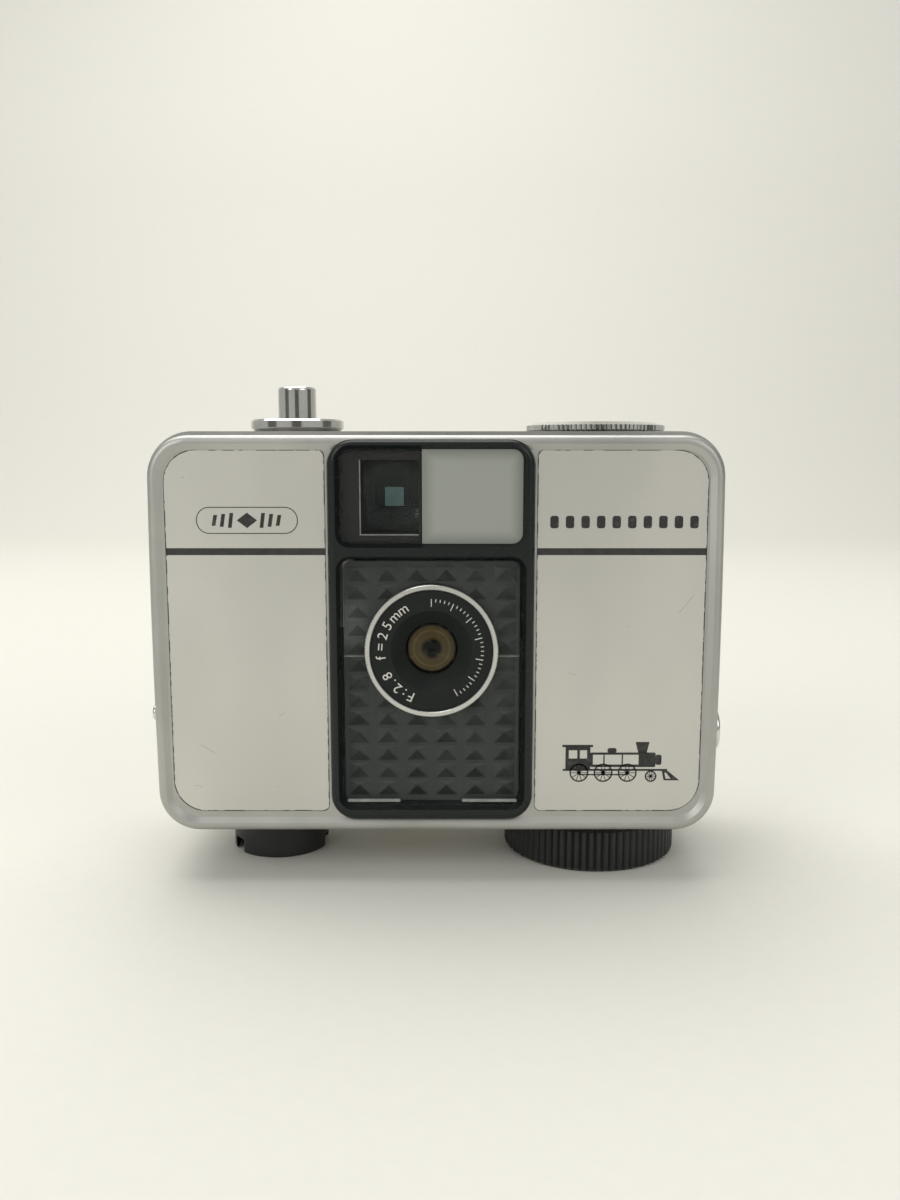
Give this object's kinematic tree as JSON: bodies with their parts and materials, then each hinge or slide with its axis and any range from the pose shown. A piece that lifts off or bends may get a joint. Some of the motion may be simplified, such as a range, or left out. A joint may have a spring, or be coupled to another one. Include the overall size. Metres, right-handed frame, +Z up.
{
  "type": "half frame camera",
  "caption": "Compact clockwork half frame film camera with two face plates, a black centre panel holding the lens and light cell, and knobs underneath.",
  "frame": {"origin": "on the surface that the two bottom knobs stand on, under the middle of the camera", "axes": "+Z up, the lens faces -Y, +X to the right of someone looking at the front"},
  "size_m": [0.0899, 0.034, 0.0765],
  "materials": {
    "satin_aluminium": "satin",
    "brushed_aluminium": "brushed",
    "black_gloss": "gloss",
    "clear_plastic": "clear",
    "frosted_plastic": "frosted",
    "selenium": "matte",
    "chrome": "polished",
    "black_knob": "matte",
    "black_metal": "matte",
    "steel": "satin",
    "brass": "satin",
    "lens_glass": "coated",
    "foam": "matte",
    "insulator": "matte"
  },
  "bodies": {
    "camera": {"front_bezel": "satin_aluminium", "body_shell": "satin_aluminium", "left_face_plate": "brushed_aluminium", "right_face_plate": "brushed_aluminium", "centre_panel": "black_gloss", "window_pane": "clear_plastic", "cell_window": "clear_plastic", "selenium_cell": "selenium", "hinge_pin": "steel", "chassis": "black_metal", "film_gate": "black_metal", "counter_window": "clear_plastic", "front_element": "lens_glass", "middle_element": "lens_glass", "rear_element": "lens_glass", "lens_ring": "chrome", "name_ring": "black_metal", "lens_barrel": "black_metal", "shutter_housing": "black_metal", "shutter_cover": "black_metal", "button_collar": "chrome", "button_spring": "steel", "finder_tunnel": "black_metal", "frosted_window": "frosted_plastic", "finder_objective": "lens_glass", "eyepiece_frame": "black_gloss", "eyepiece_lens": "lens_glass", "meter_housing": "black_knob", "tripod_socket": "brass", "flash_socket": "chrome", "socket_insulator": "insulator", "socket_contact": "brass", "strap_lug": "chrome", "latch_spring": "steel", "case_screws": "chrome"},
    "shutter_button": {"shutter_button": "chrome", "release_rod": "steel"},
    "aperture_dial": {"aperture_dial": "chrome", "aperture_cam": "brass"},
    "winding_knob": {"winding_knob": "black_knob", "winding_arbor": "brass"},
    "take_up_spool": {"take_up_spool": "black_knob", "mainspring": "steel"},
    "sprocket": {"sprocket": "black_knob"},
    "counter_disc": {"counter_disc": "black_metal"},
    "rewind_knob": {"rewind_knob": "black_knob", "rewind_shaft": "steel", "crank_pin": "steel"},
    "rewind_crank": {"rewind_crank": "black_metal"},
    "release_button": {"release_button": "steel"},
    "back_door": {"back_door": "satin_aluminium", "light_seals": "foam", "pressure_spring": "steel"},
    "pressure_plate": {"pressure_plate": "black_metal"},
    "door_latch": {"door_latch": "chrome"},
    "shutter_leaf_left": {"shutter_leaf_left": "steel"},
    "shutter_leaf_right": {"shutter_leaf_right": "steel"},
    "aperture_leaf_left": {"aperture_leaf_left": "steel"},
    "aperture_leaf_right": {"aperture_leaf_right": "steel"},
    "meter_needle": {"meter_needle": "steel"}
  },
  "joints": [
    {"name": "shutter_press", "type": "slide", "parent": "camera", "child": "shutter_button", "axis": [0, 0, -1], "range_m": [0, 0.002], "stiffness_N_per_m": 250, "deforming": ["button_spring"]},
    {"name": "aperture_turn", "type": "hinge", "parent": "camera", "child": "aperture_dial", "pos_m": [0.0256, 0.0014, 0.071], "axis": [0, 0, 1], "range_deg": [0, 280]},
    {"name": "winding_turn", "type": "hinge", "parent": "camera", "child": "winding_knob", "pos_m": [0.0256, 0.0014, 0.004], "axis": [0, 0, 1], "continuous": true},
    {"name": "spool_turn", "type": "hinge", "parent": "camera", "child": "take_up_spool", "pos_m": [0.0256, 0.0014, 0.0365], "axis": [0, 0, 1], "continuous": true},
    {"name": "sprocket_turn", "type": "hinge", "parent": "camera", "child": "sprocket", "pos_m": [0.013, 0.00738, 0.0365], "axis": [0, 0, 1], "continuous": true},
    {"name": "counter_turn", "type": "hinge", "parent": "camera", "child": "counter_disc", "pos_m": [0.0035, 0.0042, 0.0668], "axis": [0, 0, 1], "continuous": true},
    {"name": "rewind_turn", "type": "hinge", "parent": "camera", "child": "rewind_knob", "pos_m": [-0.02665, 0.0014, 0.004], "axis": [0, 0, 1], "continuous": true},
    {"name": "crank_fold", "type": "hinge", "parent": "rewind_knob", "child": "rewind_crank", "pos_m": [-0.02205, 0.0014, 0.0011], "axis": [0, -1, 0], "range_deg": [0, 160]},
    {"name": "rewind_release", "type": "slide", "parent": "camera", "child": "release_button", "axis": [0, 0, 1], "range_m": [0, 0.0012], "stiffness_N_per_m": 250},
    {"name": "door_swing", "type": "hinge", "parent": "camera", "child": "back_door", "pos_m": [-0.0417, 0.0144, 0.03845], "axis": [0, 0, 1], "range_deg": [0, 120]},
    {"name": "pressure_float", "type": "slide", "parent": "back_door", "child": "pressure_plate", "axis": [0, 1, 0], "range_m": [0, 0.0006], "stiffness_N_per_m": 400},
    {"name": "latch_slide", "type": "slide", "parent": "camera", "child": "door_latch", "axis": [0, 0, -1], "range_m": [0, 0.003], "stiffness_N_per_m": 200, "deforming": ["latch_spring"]},
    {"name": "shutter_left_swing", "type": "hinge", "parent": "camera", "child": "shutter_leaf_left", "pos_m": [-0.00295, -0.007, 0.0447], "axis": [0, 1, 0], "range_deg": [0, 38]},
    {"name": "shutter_right_swing", "type": "hinge", "parent": "camera", "child": "shutter_leaf_right", "pos_m": [0.00145, -0.007, 0.0447], "axis": [0, -1, 0], "range_deg": [0, 38]},
    {"name": "aperture_left_swing", "type": "hinge", "parent": "camera", "child": "aperture_leaf_left", "pos_m": [-0.00295, -0.007, 0.0283], "axis": [0, -1, 0], "range_deg": [0, 34]},
    {"name": "aperture_right_swing", "type": "hinge", "parent": "camera", "child": "aperture_leaf_right", "pos_m": [0.00145, -0.007, 0.0283], "axis": [0, 1, 0], "range_deg": [0, 34]},
    {"name": "needle_swing", "type": "hinge", "parent": "camera", "child": "meter_needle", "pos_m": [-0.00075, -0.0122, 0.0193], "axis": [0, 1, 0], "range_deg": [-18, 18]}
  ],
  "couplings": [
    {"joint": "shutter_right_swing", "follows": "shutter_left_swing", "ratio": 1},
    {"joint": "aperture_left_swing", "follows": "aperture_turn", "ratio": 0.12143},
    {"joint": "aperture_right_swing", "follows": "aperture_turn", "ratio": 0.12143},
    {"joint": "sprocket_turn", "follows": "spool_turn", "ratio": 2.33},
    {"joint": "counter_turn", "follows": "spool_turn", "ratio": -0.05825}
  ]
}
